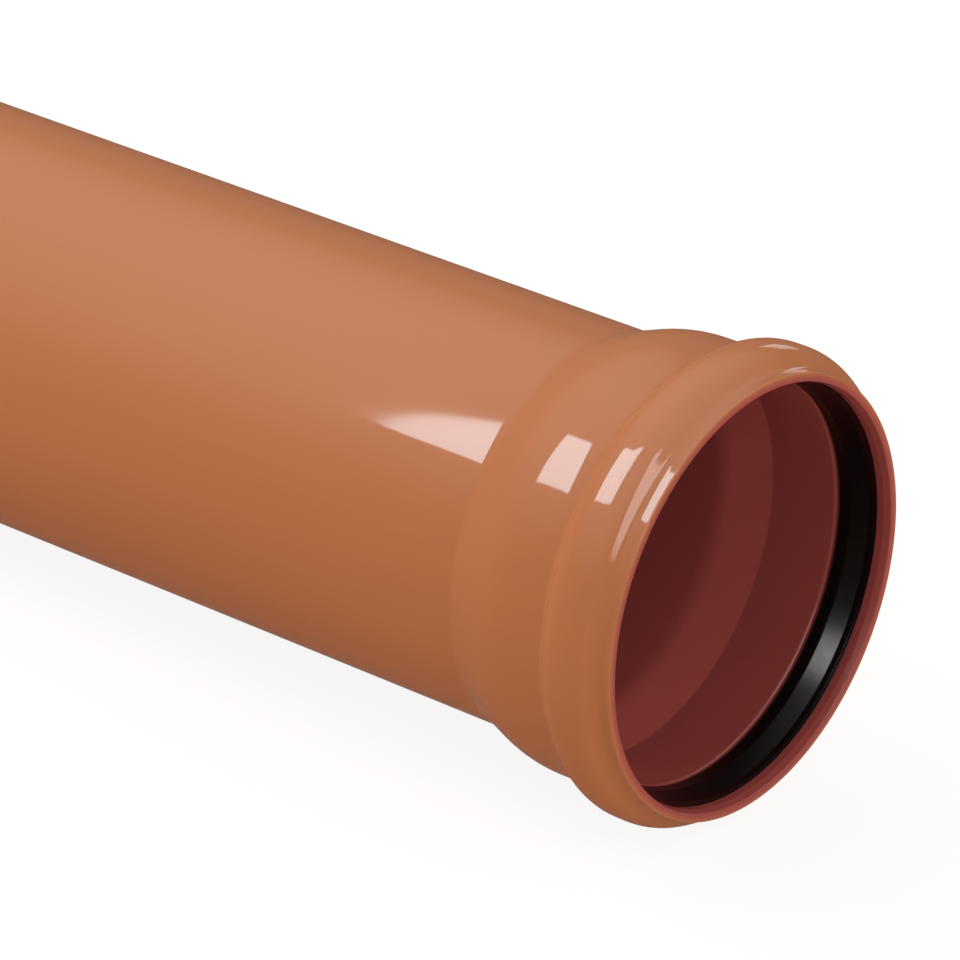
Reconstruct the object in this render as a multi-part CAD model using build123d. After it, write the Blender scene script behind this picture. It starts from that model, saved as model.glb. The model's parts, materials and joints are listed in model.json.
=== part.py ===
from build123d import *
import os
from math import asin, atan2, degrees, hypot, radians, tan

# A sewer pipe of unplasticised PVC with a socket formed on one end, and the rubber ring that sits
# in the socket's groove. Lengths are in millimetres. The sections below are drawn with X along the
# pipe and Y as the radius. The mouth of the socket is at X = 0, and the pipe runs towards -X, so a
# depth is a distance into the socket from its mouth.

# Pipe
pipe_diameter = 315.0
pipe_wall = 12.1
laying_length = 1000.0
end_bevel_length = 20.0
end_bevel_angle = 15.0

# Socket, from its mouth to the taper that brings it down to the pipe
socket_depth = 106.0
socket_play = 1.7
socket_wall = 14.0
taper_angle = 20.0
shoulder_setback = 11.0
lip_wall = 8.8
lip_length = 9.5
mouth_bevel_length = 6.0
mouth_bevel_rise = 1.7

# Bead that stands out round the socket, and the groove inside it
bead_height = 13.6
bead_front_run = 13.4
bead_crest_length = 26.8
bead_rear_run = 11.8
bead_wall = 12.0
groove_start = 12.0
groove_front_run = 14.0
groove_floor_length = 16.5
groove_rear_run = 4.0

# Rounded corners
rim_outer_round = 1.5
rim_inner_round = 1.0
bead_crest_round = 22.0
bead_front_root_round = 9.0
bead_rear_root_round = 4.0
shoulder_round = 55.0
neck_round = 70.0
groove_edge_round = 1.5
groove_floor_round = 4.0
groove_rear_round = 3.0
stop_round = 4.0
bore_neck_round = 40.0

# Rubber ring
seal_gap = 0.3
seal_nose_reach = 0.8
seal_crown_run = 12.8
seal_crown_drop = 3.1
seal_crown_round = 20.0
seal_lip_gap = 1.3
seal_lip_land = 2.0
seal_lip_setback = 3.8
seal_lip_round = 0.6
seal_heel_run = 3.0
seal_heel_rise = 4.0

# Angle from the side of the pipe, where the sections are drawn, to its underside
seam_angle = -90.0

# Radii
pipe_radius = pipe_diameter / 2
bore_radius = pipe_radius - pipe_wall
socket_radius = pipe_radius + socket_play
barrel_radius = socket_radius + socket_wall
lip_bore_radius = barrel_radius - lip_wall
mouth_radius = lip_bore_radius + mouth_bevel_rise
crest_radius = barrel_radius + bead_height
groove_radius = crest_radius - bead_wall
seal_lip_radius = pipe_radius + seal_lip_gap
end_radius = pipe_radius - end_bevel_length * tan(radians(end_bevel_angle))

# Depths
crest_start = lip_length + bead_front_run
crest_end = crest_start + bead_crest_length
bead_end = crest_end + bead_rear_run
groove_floor_start = groove_start + groove_front_run
groove_floor_end = groove_floor_start + groove_floor_length
groove_end = groove_floor_end + groove_rear_run
seal_nose_depth = groove_start - seal_nose_reach
seal_crown_depth = seal_nose_depth + seal_crown_run
seal_lip_depth = groove_end - seal_lip_setback
seal_lip_start = seal_lip_depth - seal_lip_land
taper_slope = tan(radians(taper_angle))
shoulder_depth = socket_depth + shoulder_setback
neck_depth = shoulder_depth + (barrel_radius - pipe_radius) / taper_slope
bore_neck_depth = socket_depth + (socket_radius - bore_radius) / taper_slope
total_length = socket_depth + laying_length
bevel_depth = total_length - end_bevel_length


def corner(depth, radius):
    """A point of a section, from its depth in the socket and its distance from the axis."""
    return (-depth, radius)


def outline(corners):
    """The face inside a chain of (point, round) corners, with each corner rounded by its radius."""
    face = make_face(Polyline(*[point for point, _ in corners], close=True))
    for point, size in corners:
        if size:
            face = fillet(face.vertices().sort_by_distance(point)[0], size)
    return face


# Outside of the pipe from the mouth to the plain end, then back along the inside
pipe_section = outline([
    (corner(0, barrel_radius), rim_outer_round),
    (corner(lip_length, barrel_radius), bead_front_root_round),
    (corner(crest_start, crest_radius), bead_crest_round),
    (corner(crest_end, crest_radius), bead_crest_round),
    (corner(bead_end, barrel_radius), bead_rear_root_round),
    (corner(shoulder_depth, barrel_radius), shoulder_round),
    (corner(neck_depth, pipe_radius), neck_round),
    (corner(bevel_depth, pipe_radius), 0),
    (corner(total_length, end_radius), 0),
    (corner(total_length, bore_radius), 0),
    (corner(bore_neck_depth, bore_radius), bore_neck_round),
    (corner(socket_depth, socket_radius), stop_round),
    (corner(groove_end, socket_radius), groove_rear_round),
    (corner(groove_floor_end, groove_radius), groove_floor_round),
    (corner(groove_floor_start, groove_radius), groove_floor_round),
    (corner(groove_start, lip_bore_radius), groove_edge_round),
    (corner(mouth_bevel_length, lip_bore_radius), 0),
    (corner(0, mouth_radius), rim_inner_round),
])

# The ring fills the groove out to its corners and reaches inwards to its lip. The groove's walls,
# thickened by the gap, are then taken away from it.
seal_blank = outline([
    (corner(seal_nose_depth, lip_bore_radius), 0),
    (corner(seal_nose_depth, lip_bore_radius - seal_gap), 0),
    (corner(seal_crown_depth, lip_bore_radius - seal_crown_drop), seal_crown_round),
    (corner(seal_lip_start, seal_lip_radius), 0),
    (corner(seal_lip_depth, seal_lip_radius), seal_lip_round),
    (corner(seal_lip_depth + seal_heel_run, seal_lip_radius + seal_heel_rise), 0),
    (corner(groove_floor_end, groove_radius), 0),
    (corner(groove_floor_start, groove_radius), 0),
    (corner(groove_start, lip_bore_radius), 0),
])
seal_section = seal_blank - offset(pipe_section, amount=seal_gap)

# The seam, where each turned face meets itself, lies along the underside.
to_underside = Rot(seam_angle, 0, 0)
pipe = to_underside * revolve(pipe_section, Axis.X)
seal_ring = to_underside * revolve(seal_section, Axis.X)

# The pipe lies on the crest of its bead and on the foot of its plain end. The floor is the line that
# touches the crest's rounded rear edge and the corner where the end's bevel starts.
crest_centre_depth = crest_end - bead_crest_round * tan(atan2(bead_height, bead_rear_run) / 2)
foot_distance = bevel_depth - crest_centre_depth
foot_drop = crest_radius - bead_crest_round - pipe_radius
foot_angle = atan2(foot_drop, foot_distance)
rest_tilt = degrees(foot_angle + asin(bead_crest_round / hypot(foot_distance, foot_drop)))

tilted = Rot(0, -rest_tilt, 0) * pipe
box = tilted.bounding_box()
rest = Pos(-box.center().X, -box.center().Y, -box.min.Z) * Rot(0, -rest_tilt, 0)

os.makedirs("parts", exist_ok=True)
for name, solid in (("pipe", pipe), ("seal_ring", seal_ring)):
    placed = rest * solid
    placed.label = name
    export_step(placed, os.path.join("parts", name + ".step"))
    print(name, "volume", round(placed.volume), "box", placed.bounding_box())

# Where the pipe's interfaces come to lie, as depths on its axis
axis = Vector(1, 0, 0).rotate(Axis.Y, -rest_tilt)
print("tilt", round(rest_tilt, 4), "axis", axis)
for name, depth, radius in (
    ("mouth", 0, mouth_radius),
    ("socket barrel start", groove_end, socket_radius),
    ("socket stop", socket_depth, socket_radius),
    ("bore start", bore_neck_depth, bore_radius),
    ("neck", neck_depth, pipe_radius),
    ("end bevel start", bevel_depth, pipe_radius),
    ("plain end", total_length, bore_radius),
):
    print(name, "radius", round(radius, 3), "at", (rest * Pos(-depth, 0, 0)).position)
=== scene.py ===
# %% [markdown]
# # An orange-brown sewer pipe and its rubber ring
# The real object is a length of PVC-U sewer pipe. It was extruded as a plain tube, and one end was
# heated and pushed over a mandrel to form the socket, with a bead that holds a rubber ring inside.
# Both pieces are round about one axis, so two profiles turned about that axis make every shape
# here, and most of the work goes into the surfaces and into the lamps that they mirror.

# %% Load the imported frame
import json

import bpy
import numpy as np
from mathutils import Matrix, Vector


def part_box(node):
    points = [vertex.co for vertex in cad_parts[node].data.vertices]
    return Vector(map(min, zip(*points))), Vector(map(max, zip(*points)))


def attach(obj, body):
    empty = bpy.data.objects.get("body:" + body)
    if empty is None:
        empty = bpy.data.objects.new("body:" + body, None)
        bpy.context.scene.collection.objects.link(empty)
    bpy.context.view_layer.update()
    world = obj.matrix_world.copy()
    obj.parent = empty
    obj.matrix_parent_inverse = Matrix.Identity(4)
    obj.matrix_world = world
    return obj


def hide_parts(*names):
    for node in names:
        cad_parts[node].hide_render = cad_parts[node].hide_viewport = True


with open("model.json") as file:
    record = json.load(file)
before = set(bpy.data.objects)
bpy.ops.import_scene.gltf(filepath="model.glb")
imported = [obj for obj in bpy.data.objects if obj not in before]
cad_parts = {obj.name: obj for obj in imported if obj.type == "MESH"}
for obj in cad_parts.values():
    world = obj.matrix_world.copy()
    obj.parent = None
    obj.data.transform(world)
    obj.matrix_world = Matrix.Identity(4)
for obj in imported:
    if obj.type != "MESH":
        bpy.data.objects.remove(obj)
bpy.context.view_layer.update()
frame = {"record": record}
mounts = {mount["name"]: mount for mount in frame["record"]["mounts"]}
mm = 0.001

# %% [markdown]
# The pipe lies on a level floor, on the crest of its bead and on its plain end, so its axis rises a
# little towards the mouth. The frame states where the mouth is and which way the axis runs. Every
# place on the pipe is then a depth behind the mouth, a radius and an angle round the axis.

# %% The pipe's axis and mouth
axis = np.array(mounts["socket"]["axis"])
axis = axis / np.linalg.norm(axis)
side = np.array([0.0, 1.0, 0.0])
up = np.cross(axis, side)
on_axis = np.array(mounts["socket"]["pos_m"])
mouth = on_axis + axis * (np.array(mounts["mouth_face"]["pos_m"]) - on_axis).dot(axis)
total_length = axis.dot(mouth - np.array(mounts["end_face"]["pos_m"]))
axis_tilt = np.arctan2(axis[2], axis[0])
print("mouth in mm", np.round(mouth / mm, 1), "tilt", round(float(np.degrees(axis_tilt)), 2))
print("length in mm", round(float(total_length / mm), 1))

# %% [markdown]
# The three radii that other pipes have to fit come from the frame too, and so does the widest, that
# of the bead. The sizes that only give the socket its form are written here, from its mouth back to
# where it has narrowed to the pipe. Just behind the bead the barrel swells by a millimetre, which is
# where its reflections end.

# %% Sizes of the pipe
pipe_radius = mounts["spigot"]["dims"]["r_mm"] * mm
socket_radius = mounts["socket"]["dims"]["r_mm"] * mm
bore_radius = mounts["bore"]["dims"]["r_mm"] * mm
crest_radius = (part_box("pipe")[1].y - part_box("pipe")[0].y) / 2

socket_wall = 14.0 * mm
lip_wall = 8.8 * mm
lip_length = 9.5 * mm
mouth_bevel_length = 6.0 * mm
mouth_bevel_rise = 1.7 * mm
bead_front_run = 13.4 * mm
bead_crest_length = 26.8 * mm
bead_rear_run = 11.8 * mm
bead_wall = 12.0 * mm
swell_run = 13.0 * mm
swell_rise = 1.0 * mm
groove_start = 12.0 * mm
groove_front_run = 14.0 * mm
groove_floor_length = 16.5 * mm
groove_rear_run = 4.0 * mm
socket_depth = 106.0 * mm
shoulder_setback = 11.0 * mm
taper_angle = 20.0
end_bevel_length = 20.0 * mm
end_bevel_angle = 15.0
print("pipe's radius in mm", round(pipe_radius / mm, 1))
print("pipe's wall in mm", round((pipe_radius - bore_radius) / mm, 1))

# %% [markdown]
# All other radii and depths follow from those sizes. Radii are built up from the pipe outwards, and
# depths from the mouth backwards, so a longer bead moves everything that lies behind it.

# %% Radii and depths that follow
taper_slope = np.tan(np.radians(taper_angle))
end_bevel_slope = np.tan(np.radians(end_bevel_angle))

barrel_radius = socket_radius + socket_wall
lip_bore_radius = barrel_radius - lip_wall
mouth_radius = lip_bore_radius + mouth_bevel_rise
groove_radius = crest_radius - bead_wall
end_radius = pipe_radius - end_bevel_length * end_bevel_slope

crest_start = lip_length + bead_front_run
crest_end = crest_start + bead_crest_length
bead_end = crest_end + bead_rear_run
groove_floor_start = groove_start + groove_front_run
groove_floor_end = groove_floor_start + groove_floor_length
groove_end = groove_floor_end + groove_rear_run
shoulder_depth = socket_depth + shoulder_setback
neck_depth = shoulder_depth + (barrel_radius - pipe_radius) / taper_slope
bore_neck_depth = socket_depth + (socket_radius - bore_radius) / taper_slope
bevel_depth = total_length - end_bevel_length
print("radii in mm", np.round(np.array([bore_radius, pipe_radius, barrel_radius, crest_radius]) / mm, 1))

# %% [markdown]
# A profile is a closed chain of corners, each with the radius that rounds it. Hot plastic never
# takes a sharp corner, and a rounded edge is also what catches a thin line of light. Each corner
# becomes an arc that touches its two runs. A point is added on each run just beside the arc, so
# that the smooth shading of the arc doesn't spread over the long straight wall behind it.

# %% Rounded profiles
arc_step = np.radians(5.0)
fewest_arc_points = 3
run_margin = 1.0 * mm
greatest_run_share = 0.25


def unit(vector):
    """The vector divided by its length."""
    return vector / np.linalg.norm(vector)


def corner_arc(before, corner, after, radius):
    """The arc of that radius that touches both runs at a corner.

    It starts radius * tan(turn / 2) before the corner, and its points are its centre plus the first
    spoke turned by equal shares of the turn between the runs.
    """
    into, out = unit(corner - before), unit(after - corner)
    turn = np.arctan2(into[0] * out[1] - into[1] * out[0], into.dot(out))
    start = corner - into * radius * np.tan(abs(turn) / 2)
    centre = start + np.sign(turn) * radius * np.array([-into[1], into[0]])
    count = max(fewest_arc_points, int(np.ceil(abs(turn) / arc_step)) + 1)
    angles = np.linspace(0, turn, count)[:, None]
    spoke = start - centre
    turned = np.array([-spoke[1], spoke[0]])
    return centre + np.cos(angles) * spoke + np.sin(angles) * turned


def rounded(corners):
    """The points of a closed chain of (depth, radius, round) corners, as an array of two columns.

    Each corner gives its arc, one point on the run before it and one on the run after it.
    """
    chain = np.array(corners)
    places, rounds = chain[:, :2], chain[:, 2]
    arcs = [
        corner_arc(places[i - 1], places[i], places[(i + 1) % len(chain)], rounds[i])
        for i in range(len(chain))
    ]
    parts = []
    for arc, following in zip(arcs, arcs[1:] + arcs[:1]):
        run = following[0] - arc[-1]
        share = min(run_margin / np.linalg.norm(run), greatest_run_share)
        parts += [arc, arc[-1:] + share * run, following[:1] - share * run]
    return np.concatenate(parts)


print("most degrees between two points of an arc", round(float(np.degrees(arc_step)), 1))

# %% [markdown]
# The pipe's chain runs along its outside from the mouth to the plain end and comes back along its
# inside. The roundings differ a lot: the crest of the bead is full and round, the shoulder flows
# gently into the taper, and the sawn end has only lost its burr.

# %% The pipe's profile
rim_outer_round = 1.5 * mm
rim_inner_round = 1.0 * mm
bead_front_root_round = 9.0 * mm
bead_crest_round = 22.0 * mm
bead_rear_root_round = 10.0 * mm
swell_round = 60.0 * mm
shoulder_round = 100.0 * mm
neck_round = 20.0 * mm
bore_neck_round = 40.0 * mm
stop_round = 4.0 * mm
groove_rear_round = 3.0 * mm
groove_floor_round = 4.0 * mm
groove_edge_round = 1.5 * mm
bevel_round = 0.5 * mm
sawn_round = 0.4 * mm

pipe_profile = rounded([
    (0.0, barrel_radius, rim_outer_round),
    (lip_length, barrel_radius, bead_front_root_round),
    (crest_start, crest_radius, bead_crest_round),
    (crest_end, crest_radius, bead_crest_round),
    (bead_end, barrel_radius + swell_rise, bead_rear_root_round),
    (bead_end + swell_run, barrel_radius, swell_round),
    (shoulder_depth, barrel_radius, shoulder_round),
    (neck_depth, pipe_radius, neck_round),
    (bevel_depth, pipe_radius, bevel_round),
    (total_length, end_radius, sawn_round),
    (total_length, bore_radius, sawn_round),
    (bore_neck_depth, bore_radius, bore_neck_round),
    (socket_depth, socket_radius, stop_round),
    (groove_end, socket_radius, groove_rear_round),
    (groove_floor_end, groove_radius, groove_floor_round),
    (groove_floor_start, groove_radius, groove_floor_round),
    (groove_start, lip_bore_radius, groove_edge_round),
    (mouth_bevel_length, lip_bore_radius, bevel_round),
    (0.0, mouth_radius, rim_inner_round),
])
print("profile points", len(pipe_profile), "widest radius in mm", round(pipe_profile[:, 1].max() / mm, 2))

# %% [markdown]
# A round die and a round mandrel made the real pipe, so its profile is turned as on a lathe. The
# Spin tool or a Screw modifier would do that too, but a grid of two parameters knows which profile
# point made which vertex, and the colours need that later. Each vertex is the mouth, minus the depth
# along the axis, plus the radius along a spoke that turns with the angle. The grid closes on itself
# both ways, so the wall is one closed skin, as the real wall is one piece of plastic.

# %% Turn a profile about the axis
turns = 256


def lathe(name, profile):
    """A piece whose point at profile place i and angle t is
    mouth - depth[i] * axis + radius[i] * (cos t * side + sin t * up).
    """
    angles = np.arange(turns) * (2 * np.pi / turns)
    spokes = np.cos(angles)[:, None] * side + np.sin(angles)[:, None] * up
    depth, radius = profile[:, 0], profile[:, 1]
    points = mouth - depth[:, None, None] * axis + radius[:, None, None] * spokes
    row, column = np.meshgrid(np.arange(len(profile)), np.arange(turns), indexing="ij")
    next_row, next_column = (row + 1) % len(profile), (column + 1) % turns
    ring = [(row, column), (row, next_column), (next_row, next_column), (next_row, column)]
    faces = np.stack([r * turns + c for r, c in ring], axis=-1).reshape(-1, 4)
    points = points.reshape(-1, 3)
    first, second, third = points[faces[:, 0]], points[faces[:, 1]], points[faces[:, 2]]
    volume = np.einsum("ij,ij->", first, np.cross(second, third))
    faces = faces if volume > 0 else faces[:, ::-1]
    mesh = bpy.data.meshes.new(name)
    mesh.from_pydata(points, [], faces)
    mesh.shade_smooth()
    piece = bpy.data.objects.new(name, mesh)
    bpy.context.scene.collection.objects.link(piece)
    print(name, "faces", len(mesh.polygons), "points outwards", volume > 0)
    return piece


def give_attribute(piece, name, values):
    """Stores one number for each profile point on all the vertices that the lathe made from it."""
    layer = piece.data.attributes.new(name, "FLOAT", "POINT")
    layer.data.foreach_set("value", np.repeat(values, turns).astype(np.float32))


print("degrees from spoke to spoke", round(360 / turns, 2))

# %% [markdown]
# In the photograph everything inside is a dark red-brown, while the outside is orange, and one
# fades into the other across the rim's face. Such a wall is drawn from two melts at once. The
# pattern can't follow a direction in space, because it follows the wall, so each vertex carries a
# number: 0 on the outer skin, 1 on the core and the inner skin. A second number marks the plain
# end, where a saw and a cutter left their marks.

# %% The pipe, with its two skins
outer_skin = 0.8 * mm
outside_lean = 0.6
inside_lean = -0.5
cut_margin = 0.5 * mm
rim_fade_share = 0.6


def profile_outwards(profile):
    """How far each point's normal leans away from the axis, from -1 on a bore to 1 on an outside.

    The normal is the direction from the point before to the point after, turned by a right angle.
    """
    along = np.roll(profile, -1, axis=0) - np.roll(profile, 1, axis=0)
    return along[:, 0] / np.linalg.norm(along, axis=1)


pipe_wall = lathe("pipe_wall", pipe_profile)
outwards = profile_outwards(pipe_profile)
on_outside = (outwards > outside_lean) & (pipe_profile[:, 1] > pipe_radius - outer_skin)
on_rim = pipe_profile[:, 0] < rim_outer_round
rim_fade = rim_fade_share * (barrel_radius - mouth_radius)
across_rim = np.clip((barrel_radius - pipe_profile[:, 1]) / rim_fade, 0.0, 1.0)
inner_skin = np.where(on_outside, 0.0, np.where(on_rim, across_rim, 1.0))
give_attribute(pipe_wall, "inner_skin", inner_skin)
at_cut = (pipe_profile[:, 0] > bevel_depth + cut_margin) & (outwards > inside_lean)
give_attribute(pipe_wall, "cut_end", np.where(at_cut, 1.0, 0.0))
print("profile points on the outside", int(on_outside.sum()), "on the cut end", int(at_cut.sum()))

# %% [markdown]
# The rubber ring fills the groove and reaches inwards to a lip that wipes the pipe pushed in. A
# squashed torus would be quick, but it would cut into the plastic in one place and stand off it in
# another, so the ring has a profile of its own. From the mouth it shows a narrow flat shelf, then a
# straight slope down to its lip. That slope is what mirrors a lamp as one soft patch.

# %% Sizes of the rubber ring
seal_gap = 0.35 * mm
nose_reach = 0.6 * mm
shelf_depth = 19.0 * mm
shelf_drop = 0.3 * mm
face_end_depth = 33.0 * mm
seal_lip_gap = 1.3 * mm
seal_lip_setback = 3.8 * mm
heel_rise = 4.0 * mm
nose_rear_step = 0.02 * mm

nose_depth = groove_start - nose_reach
seal_lip_radius = pipe_radius + seal_lip_gap
seal_lip_end = groove_end - seal_lip_setback
heel_radius = seal_lip_radius + heel_rise
seal_floor = groove_radius - seal_gap
nose_radius = lip_bore_radius - seal_gap
nose_rear_radius = nose_radius + nose_rear_step
print("ring's lip radius in mm", round(seal_lip_radius / mm, 1))

# %% [markdown]
# The ring's outer corners lie on the groove's own walls, moved inwards by a small gap. A gap is
# measured square to a wall, so along the pipe it is longer, and the more so the flatter the wall.

# %% The groove's walls as the ring meets them
front_slope = (groove_radius - lip_bore_radius) / groove_front_run
rear_slope = (groove_radius - socket_radius) / groove_rear_run


def front_wall(radius):
    """The depth of the groove's front wall at a radius, moved into the groove by the gap.

    The wall's straight line gives its depth, and the gap adds gap * sqrt(1 + 1 / slope squared).
    """
    wall_depth = groove_floor_start - (groove_radius - radius) / front_slope
    return wall_depth + seal_gap * np.hypot(1, 1 / front_slope)


def rear_wall(radius):
    """The depth of the groove's rear wall at a radius, moved into the groove by the gap.

    The wall's straight line gives its depth, less gap * sqrt(1 + 1 / slope squared).
    """
    wall_depth = groove_floor_end + (groove_radius - radius) / rear_slope
    return wall_depth - seal_gap * np.hypot(1, 1 / rear_slope)


seal_back = np.array([front_wall(seal_floor), rear_wall(seal_floor)])
print("ring's back lies between depths in mm", np.round(seal_back / mm, 2))

# %% [markdown]
# The ring is turned about the axis as the pipe is. Its back is rounded a little less than the
# groove's corners, which keeps the gap nearly even all the way round the section.

# %% The rubber ring
nose_round = 0.1 * mm
shelf_round = 2.0 * mm
face_end_round = 2.0 * mm
seal_lip_round = 0.6 * mm
heel_round = 0.4 * mm
seal_floor_round = 3.8 * mm
nose_rear_round = 0.5 * mm

seal_profile = rounded([
    (nose_depth, nose_radius, nose_round),
    (shelf_depth, nose_radius - shelf_drop, shelf_round),
    (face_end_depth, seal_lip_radius, face_end_round),
    (seal_lip_end, seal_lip_radius, seal_lip_round),
    (rear_wall(heel_radius), heel_radius, heel_round),
    (rear_wall(seal_floor), seal_floor, seal_floor_round),
    (front_wall(seal_floor), seal_floor, seal_floor_round),
    (front_wall(nose_rear_radius), nose_rear_radius, nose_rear_round),
])
rubber_seal = lathe("rubber_seal", seal_profile)

# %% [markdown]
# Colours are easiest to compare with a photograph as sRGB hex values, and Blender's sockets take
# linear light, so one function turns the first into the second. One more function adds a node.

# %% Helpers for materials
def linear(hex_colour):
    """An sRGB hex colour as linear RGB with alpha 1.

    A share s of full brightness is s / 12.92 up to 0.04045, and ((s + 0.055) / 1.055) ** 2.4 above.
    """
    shares = np.array([int(hex_colour[i:i + 2], 16) for i in (1, 3, 5)]) / 255
    light = np.where(shares <= 0.04045, shares / 12.92, ((shares + 0.055) / 1.055) ** 2.4)
    return (*light.tolist(), 1.0)


def add_node(tree, kind, settings=None, inputs=None):
    """A node of that kind, with its settings, and its inputs set to values or linked to sockets."""
    node = tree.nodes.new(kind)
    for name, value in (settings or {}).items():
        setattr(node, name, value)
    for name, value in (inputs or {}).items():
        if isinstance(value, bpy.types.NodeSocket):
            tree.links.new(value, node.inputs[name])
        else:
            node.inputs[name].default_value = value
    return node


def new_material(name):
    """An empty node material, and its tree."""
    material = bpy.data.materials.new(name)
    material.use_nodes = True
    material.node_tree.nodes.clear()
    return material, material.node_tree


print("a middle grey in linear light", round(linear("#808080")[0], 3))

# %% [markdown]
# Extrusion draws every mark out along the pipe. So a pattern is laid in coordinates that run with
# the axis and are measured in the pattern's own length and width. A UV map could do that, but it
# would have a seam, and Object coordinates have none and stay with the piece.

# %% Coordinates along the pipe
def along_pipe(tree, length, width):
    """Coordinates that count lengths along the pipe and widths across it, from the mouth.

    Object coordinates are turned so that the pipe's axis is X, and divided by the pattern's size.
    """
    place = add_node(tree, "ShaderNodeTexCoord").outputs["Object"]
    turned = add_node(tree, "ShaderNodeMapping", {"vector_type": "POINT"}, {
        "Vector": place,
        "Rotation": (0.0, axis_tilt, 0.0),
    })
    shift = (-float(mouth.dot(axis)), 0.0, -float(mouth.dot(up)))
    centred = add_node(tree, "ShaderNodeMapping", {"vector_type": "POINT"}, {
        "Vector": turned.outputs["Vector"],
        "Location": shift,
    })
    scaled = add_node(tree, "ShaderNodeMapping", {"vector_type": "POINT"}, {
        "Vector": centred.outputs["Vector"],
        "Scale": (1 / length, 1 / width, 1 / width),
    })
    return scaled.outputs["Vector"]


print("patterns turned by degrees", round(float(np.degrees(axis_tilt)), 2))

# %% [markdown]
# PVC-U, unplasticised polyvinyl chloride, is drawn through a die and cooled against a polished
# sleeve. That leaves a hard gloss with a refractive index near 1.54. Look closely and the gloss
# isn't a perfect mirror: the wall waves a little where it cooled, and the sleeve drew faint lines
# along it. Where the pipe was cut, a saw and a cutter tore it instead. Noise at the real size of
# each mark stands for all three. Drawn lines are finer than the 2 mm here, which is about what the
# picture can show.

# %% PVC-U: the marks on its surface
wave_size = 38 * mm
wave_stretch = 2.5
line_spacing = 2.2 * mm
line_length = 400 * mm
tool_mark = 0.9 * mm

pvc, tree = new_material("PVC-U_extruded")
drawn_lines = add_node(tree, "ShaderNodeTexNoise", {}, {
    "Vector": along_pipe(tree, line_length, line_spacing),
    "Scale": 1.0,
    "Detail": 3.0,
}).outputs["Fac"]
cooling_waves = add_node(tree, "ShaderNodeTexNoise", {}, {
    "Vector": along_pipe(tree, wave_stretch * wave_size, wave_size),
    "Scale": 1.0,
    "Detail": 1.0,
}).outputs["Fac"]
tool_marks = add_node(tree, "ShaderNodeTexNoise", {}, {
    "Vector": along_pipe(tree, tool_mark, tool_mark),
    "Scale": 1.0,
    "Detail": 4.0,
}).outputs["Fac"]
mark_sizes = np.array([wave_size, line_spacing, tool_mark])
print("sizes of waves, lines and tool marks in mm", np.round(mark_sizes / mm, 1))

# %% [markdown]
# The colour is the two melts, mixed by the number that each vertex carries. Pigment never spreads
# quite evenly, so large soft clouds drawn out along the pipe make it a few per cent lighter or
# darker.

# %% PVC-U: its colour
outer_colour = linear("#BE754B")
inner_colour = linear("#A34D47")
shade_least, shade_most = 0.965, 1.035
melt_length = 228 * mm
melt_width = 57 * mm

skin = add_node(tree, "ShaderNodeAttribute", {"attribute_name": "inner_skin"}).outputs["Fac"]
melt = add_node(tree, "ShaderNodeTexNoise", {}, {
    "Vector": along_pipe(tree, melt_length, melt_width),
    "Scale": 1.0,
    "Detail": 2.0,
}).outputs["Fac"]
two_skins = add_node(tree, "ShaderNodeMix", {"data_type": "RGBA"}, {
    "Factor": skin,
    "A": outer_colour,
    "B": inner_colour,
}).outputs["Result"]
melt_shade = add_node(tree, "ShaderNodeMapRange", {}, {
    "Value": melt,
    "To Min": shade_least,
    "To Max": shade_most,
}).outputs["Result"]
colour = add_node(tree, "ShaderNodeHueSaturation", {}, {
    "Color": two_skins,
    "Value": melt_shade,
}).outputs["Color"]
print("outer colour in linear light", np.round(outer_colour[:3], 3))

# %% [markdown]
# The drawn lines are a trace rougher than what lies between them, and the cut end is quite matt.
# Waves and lines are less than a tenth of a millimetre high. That is far too little to move a vertex
# for, so they are bumps, and they make the edges of a reflected lamp wander as on a real pipe.

# %% PVC-U: its gloss and bumps
pvc_ior = 1.54
gloss_least, gloss_most = 0.045, 0.075
cut_roughness = 0.55
wave_height = 0.05 * mm
line_height = 0.004 * mm
tool_mark_height = 0.12 * mm

cut = add_node(tree, "ShaderNodeAttribute", {"attribute_name": "cut_end"}).outputs["Fac"]
gloss = add_node(tree, "ShaderNodeMapRange", {}, {
    "Value": drawn_lines,
    "To Min": gloss_least,
    "To Max": gloss_most,
}).outputs["Result"]
roughness = add_node(tree, "ShaderNodeMix", {"data_type": "FLOAT"}, {
    "Factor": cut,
    "A": gloss,
    "B": cut_roughness,
}).outputs["Result"]
waved = add_node(tree, "ShaderNodeBump", {}, {
    "Strength": 1.0,
    "Distance": wave_height,
    "Height": cooling_waves,
}).outputs["Normal"]
lined = add_node(tree, "ShaderNodeBump", {}, {
    "Strength": 1.0,
    "Distance": line_height,
    "Height": drawn_lines,
    "Normal": waved,
}).outputs["Normal"]
cut_height = add_node(tree, "ShaderNodeMath", {"operation": "MULTIPLY"}, {
    0: cut,
    1: tool_marks,
}).outputs["Value"]
cut_normal = add_node(tree, "ShaderNodeBump", {}, {
    "Strength": 1.0,
    "Distance": tool_mark_height,
    "Height": cut_height,
    "Normal": lined,
}).outputs["Normal"]
shader = add_node(tree, "ShaderNodeBsdfPrincipled", {}, {
    "Base Color": colour,
    "Roughness": roughness,
    "IOR": pvc_ior,
    "Normal": cut_normal,
})
add_node(tree, "ShaderNodeOutputMaterial", {}, {"Surface": shader.outputs["BSDF"]})
pipe_wall.data.materials.append(pvc)
print("PVC nodes", len(tree.nodes))

# %% [markdown]
# The ring is EPDM, a synthetic rubber filled with carbon black and moulded in a polished tool, and
# it comes coated with lubricant. So it is nearly black and shines softly, with a faint grain from
# the mould. The lubricant could be a second coat over the rubber, but one layer whose roughness
# wanders a little looks the same at this size.

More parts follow.
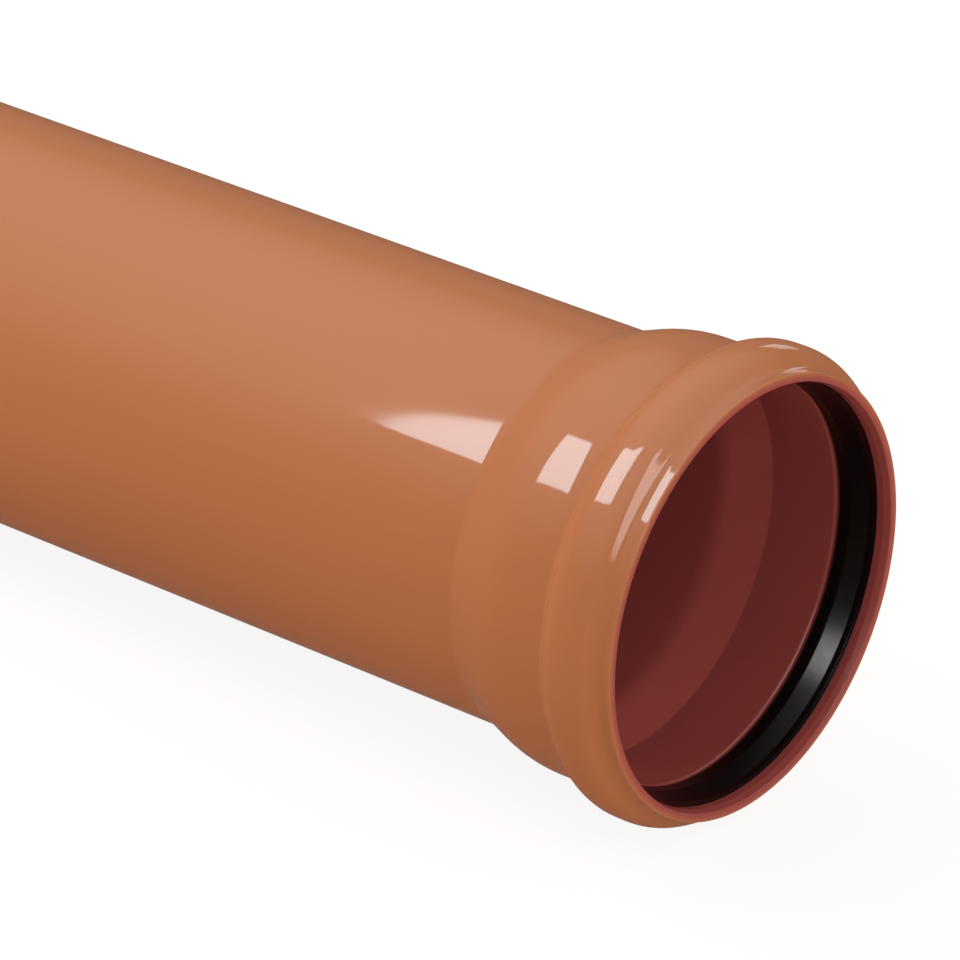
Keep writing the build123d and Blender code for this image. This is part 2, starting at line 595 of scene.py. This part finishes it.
# %% EPDM rubber
rubber_colour = linear("#080607")
rubber_ior = 1.5
rubber_specular = 0.3
sheen_least, sheen_most = 0.2, 0.3
grain_size = 0.8 * mm
grain_height = 0.01 * mm
flow_size = 6.4 * mm

rubber, tree = new_material("EPDM_rubber_moulded")
grain = add_node(tree, "ShaderNodeTexNoise", {}, {
    "Vector": along_pipe(tree, grain_size, grain_size),
    "Scale": 1.0,
    "Detail": 2.0,
}).outputs["Fac"]
flow = add_node(tree, "ShaderNodeTexNoise", {}, {
    "Vector": along_pipe(tree, flow_size, flow_size),
    "Scale": 1.0,
    "Detail": 2.0,
}).outputs["Fac"]
sheen = add_node(tree, "ShaderNodeMapRange", {}, {
    "Value": flow,
    "To Min": sheen_least,
    "To Max": sheen_most,
}).outputs["Result"]
grained = add_node(tree, "ShaderNodeBump", {}, {
    "Strength": 1.0,
    "Distance": grain_height,
    "Height": grain,
}).outputs["Normal"]
shader = add_node(tree, "ShaderNodeBsdfPrincipled", {}, {
    "Base Color": rubber_colour,
    "Roughness": sheen,
    "IOR": rubber_ior,
    "Specular IOR Level": rubber_specular,
    "Normal": grained,
})
add_node(tree, "ShaderNodeOutputMaterial", {}, {"Surface": shader.outputs["BSDF"]})
rubber_seal.data.materials.append(rubber)
print("rubber nodes", len(tree.nodes))

# %% [markdown]
# Each new piece rides on the frame's body and stands for the plain CAD node of the same shape. The
# two could be joined into one mesh, but the real ring can be taken out, so it stays its own piece.

# %% Fit the pieces to the frame
for piece, node, slot in ((pipe_wall, "pipe", "pvc"), (rubber_seal, "seal_ring", "rubber_ring")):
    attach(piece, "root")
    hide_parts(node)
    print(piece.name, "stands for", node, "in", slot)

# %% [markdown]
# The photograph was taken with a long lens from in front of the mouth and to its left, looking down
# at it. A camera could be turned towards the pipe and its lens shifted. Instead it looks along the
# same direction as in the photograph and is moved sideways, so that the middle of the mouth lands
# on its pixel, and no shift is needed.

# %% Camera
photo_side = 960
camera_azimuth = np.radians(39.6)
camera_elevation = np.radians(29.8)
distance_in_radii = 29.5
camera_distance = distance_in_radii * pipe_radius
focal_pixels = 6345.5
mouth_pixel = np.array([756.6, 599.0])
sensor_width = 36.0
sight_limit = 100.0

level = np.array([np.cos(camera_azimuth), np.sin(camera_azimuth), 0.0])
backward = np.array([
    np.sin(camera_azimuth) * np.cos(camera_elevation),
    -np.cos(camera_azimuth) * np.cos(camera_elevation),
    np.sin(camera_elevation),
])
above = np.cross(backward, level)
across, down = (mouth_pixel - photo_side / 2) * camera_distance / focal_pixels
place = mouth + backward * camera_distance - level * across + above * down
camera_data = bpy.data.cameras.new("camera")
camera_data.sensor_width = sensor_width
camera_data.lens = sensor_width * focal_pixels / photo_side
camera_data.clip_end = sight_limit
camera = bpy.data.objects.new("camera", camera_data)
camera.matrix_world = Matrix([
    (*row, place[i]) for i, row in enumerate(np.stack([level, above, backward], axis=1))
] + [(0.0, 0.0, 0.0, 1.0)])
bpy.context.scene.collection.objects.link(camera)
bpy.context.scene.camera = camera
print("camera at", np.round(place, 3), "lens in mm", round(camera_data.lens, 1))

# %% [markdown]
# A glossy tube shows its lamps as clear patches, so each lamp stands where the photograph's
# reflections say. A picture of a studio could be wrapped round the world instead, but single
# softboxes can each be moved, sized and dimmed until their mirror image fits.

# %% A rectangular lamp
def direction(azimuth, elevation):
    """The unit vector towards a compass angle, counted from +X to +Y, and a height above level.

    Its level part is the cosine of the height, turned by the angle, and its rise is the sine.
    """
    turn, lift = np.radians(azimuth), np.radians(elevation)
    return np.array([np.cos(turn) * np.cos(lift), np.sin(turn) * np.cos(lift), np.sin(lift)])


def softbox(name, target, azimuth, elevation, distance, length, width, radiance, rise=0.0, lean=0.0):
    """A rectangular lamp that faces a target from a direction.

    Its centre is target + distance * facing + rise * above. Its power is
    radiance * pi * length * width, so in the mirror radiance 1 looks as bright as plain white. The
    lean turns its upper end towards a larger azimuth. Lengths are in metres and angles in degrees.
    """
    facing = direction(azimuth, elevation)
    level_edge = unit(np.cross([0.0, 0.0, 1.0], facing))
    upright_edge = np.cross(facing, level_edge)
    centre = target + distance * facing + rise * upright_edge
    leant = np.radians(lean)
    along = np.cos(leant) * level_edge - np.sin(leant) * upright_edge
    across_lamp = np.sin(leant) * level_edge + np.cos(leant) * upright_edge
    data = bpy.data.lights.new(name, "AREA")
    data.shape = "RECTANGLE"
    data.size = length
    data.size_y = width
    data.energy = radiance * np.pi * length * width
    lamp = bpy.data.objects.new(name, data)
    lamp.matrix_world = Matrix([
        (*row, centre[i]) for i, row in enumerate(np.stack([along, across_lamp, facing], axis=1))
    ] + [(0.0, 0.0, 0.0, 1.0)])
    bpy.context.scene.collection.objects.link(lamp)
    print(name, "at", np.round(centre, 2), "watts", round(data.energy, 1))
    return lamp


print("towards -Y and halfway up", np.round(direction(-90, 45), 3))

# %% [markdown]
# The key lamp is one large softbox with level edges, high on the camera's left. Its mirror image is
# the bright patch on the pipe, the barrel, the bead and the rim. In the photograph that image is
# much brighter than the light that comes with it. So a second lamp, just in front of the first and
# a little cooler, is there for the mirror image alone, and the first is hidden from it.

# %% The key lamp and its mirror image
key_setback = 0.943
behind_mouth = mouth - key_setback * axis
cool_white = (0.87, 1.0, 1.06)
key = softbox(
    "key", behind_mouth, azimuth=-90, elevation=51, distance=1.94,
    length=1.21, width=0.97, radiance=2.72, rise=0.47,
)
key.visible_glossy = False
key_shine = softbox(
    "key_shine", behind_mouth, azimuth=-90, elevation=51, distance=1.84,
    length=1.138, width=0.92, radiance=7.3, rise=0.446,
)
key_shine.data.color = cool_white

# %% [markdown]
# Three more lamps are seen only as reflections: one in the ring, a long leaning one in the bead's
# front slope, and a low one behind the pipe in the top of the bead. The ring's lamp is linked to the
# ring and lights nothing else, since on the bead it would leave a streak that the photograph
# doesn't have.

# %% The smaller reflections
seal_shine = softbox(
    "seal_shine", mouth, azimuth=-80, elevation=50, distance=2.0,
    length=0.7, width=0.75, radiance=12.0,
)
slope_shine = softbox(
    "slope_shine", mouth, azimuth=-20, elevation=34, distance=2.0,
    length=0.36, width=1.5, radiance=3.6, lean=26,
)
back_shine = softbox(
    "back_shine", mouth, azimuth=109, elevation=14, distance=2.5,
    length=0.7, width=0.45, radiance=1.3,
)
for lamp in (key_shine, seal_shine, slope_shine, back_shine):
    lamp.visible_diffuse = False
rubber_only = bpy.data.collections.new("rubber_only")
rubber_only.objects.link(rubber_seal)
seal_shine.light_linking.receiver_collection = rubber_only

# %% [markdown]
# The background is white for the camera alone, so that it puts no more light on the pipe. What the
# pipe's gloss mirrors is dimmer and warmer near the floor: a white floor would lay a grey veil over
# the lower half, which is deep orange in the photograph. The floor still darkens where the pipe
# shades it, because a share of its own shade shows through the white.

# %% Floor
floor_size = 40.0
floor_colour = linear("#E3D6CC")
floor_mirrored = linear("#8A6656")
pure_white = (1.0, 1.0, 1.0, 1.0)
floor_glow = 1.12
floor_lift = 0.8

floor_mesh = bpy.data.meshes.new("floor")
corners = np.array([(-1, -1), (1, -1), (1, 1), (-1, 1)]) * floor_size / 2
floor_mesh.from_pydata([(x, y, 0.0) for x, y in corners], [], [(0, 1, 2, 3)])
floor = bpy.data.objects.new("floor", floor_mesh)
bpy.context.scene.collection.objects.link(floor)

paper, tree = new_material("paper_floor")
path = add_node(tree, "ShaderNodeLightPath")
matt = add_node(tree, "ShaderNodeBsdfDiffuse", {}, {"Color": floor_colour})
white = add_node(tree, "ShaderNodeEmission", {}, {"Color": pure_white, "Strength": floor_glow})
dim = add_node(tree, "ShaderNodeEmission", {}, {"Color": floor_mirrored})
lift = add_node(tree, "ShaderNodeMath", {"operation": "MULTIPLY"}, {
    0: path.outputs["Is Camera Ray"],
    1: floor_lift,
}).outputs["Value"]
seen = add_node(tree, "ShaderNodeMixShader", {}, {
    "Fac": lift,
    1: matt.outputs["BSDF"],
    2: white.outputs["Emission"],
})
either = add_node(tree, "ShaderNodeMixShader", {}, {
    "Fac": path.outputs["Is Glossy Ray"],
    1: seen.outputs["Shader"],
    2: dim.outputs["Emission"],
})
add_node(tree, "ShaderNodeOutputMaterial", {}, {"Surface": either.outputs["Shader"]})
floor_mesh.materials.append(paper)
print("floor side in m", floor_size, "and its nodes", len(tree.nodes))

# %% [markdown]
# The world is the studio's soft light. Each way into it has a height Z and a lean X along the pipe.
# The light that the pipe's matt colour gathers is even_glow, plus front_glow times X squared before
# the mouth, behind_glow times X squared behind the plain end and top_glow times Z squared. That is
# a room that is brighter along the pipe than beside it. Large lamps at both ends could do the same,
# but each would have to be hidden from the gloss. Together with the key lamp, this world lights the
# pipe at a level at which a colour looks about as it is written.

# %% World: the light on matt surfaces
even_glow = 0.07
front_glow = 2.1
behind_glow = 2.8
top_glow = 0.3

world = bpy.data.worlds.new("studio")
bpy.context.scene.world = world
world.use_nodes = True
tree = world.node_tree
tree.nodes.clear()
way = add_node(tree, "ShaderNodeSeparateXYZ", {}, {
    "Vector": add_node(tree, "ShaderNodeTexCoord").outputs["Generated"],
})
front = add_node(tree, "ShaderNodeMath", {"operation": "MAXIMUM"}, {0: way.outputs["X"], 1: 0.0})
behind = add_node(tree, "ShaderNodeMath", {"operation": "MINIMUM"}, {0: way.outputs["X"], 1: 0.0})
diffuse = even_glow
for lean, glow in (
    (front.outputs["Value"], front_glow),
    (behind.outputs["Value"], behind_glow),
    (way.outputs["Z"], top_glow),
):
    square = add_node(tree, "ShaderNodeMath", {"operation": "MULTIPLY"}, {0: lean, 1: lean})
    diffuse = add_node(tree, "ShaderNodeMath", {"operation": "MULTIPLY_ADD"}, {
        0: square.outputs["Value"],
        1: glow,
        2: diffuse,
    }).outputs["Value"]
print("light from overhead", round(even_glow + top_glow, 2))
print("light from before the mouth", round(even_glow + front_glow, 2))

# %% [markdown]
# The gloss mirrors a world of its own, a warm grey near the floor that rises to white overhead. A
# real studio has walls and a tabletop there, and mirroring pure white on all sides would wash the
# colour out. The camera alone sees plain white.

# %% World: what the gloss mirrors and the camera sees
low_mirrored = linear("#857068")
high_mirrored = linear("#F0F0F0")
mirrored_from, mirrored_to = 0.3, 0.8

path = add_node(tree, "ShaderNodeLightPath")
height = add_node(tree, "ShaderNodeMapRange", {}, {
    "Value": way.outputs["Z"],
    "From Min": mirrored_from,
    "From Max": mirrored_to,
}).outputs["Result"]
mirrored = add_node(tree, "ShaderNodeMix", {"data_type": "RGBA"}, {
    "Factor": height,
    "A": low_mirrored,
    "B": high_mirrored,
}).outputs["Result"]
unseen = add_node(tree, "ShaderNodeMix", {"data_type": "RGBA"}, {
    "Factor": path.outputs["Is Glossy Ray"],
    "A": diffuse,
    "B": mirrored,
}).outputs["Result"]
light = add_node(tree, "ShaderNodeMix", {"data_type": "RGBA"}, {
    "Factor": path.outputs["Is Camera Ray"],
    "A": unseen,
    "B": pure_white,
}).outputs["Result"]
air = add_node(tree, "ShaderNodeBackground", {}, {"Color": light})
add_node(tree, "ShaderNodeOutputWorld", {}, {"Surface": air.outputs["Background"]})
bpy.context.scene.view_settings.view_transform = "Standard"
print("world nodes", len(tree.nodes))
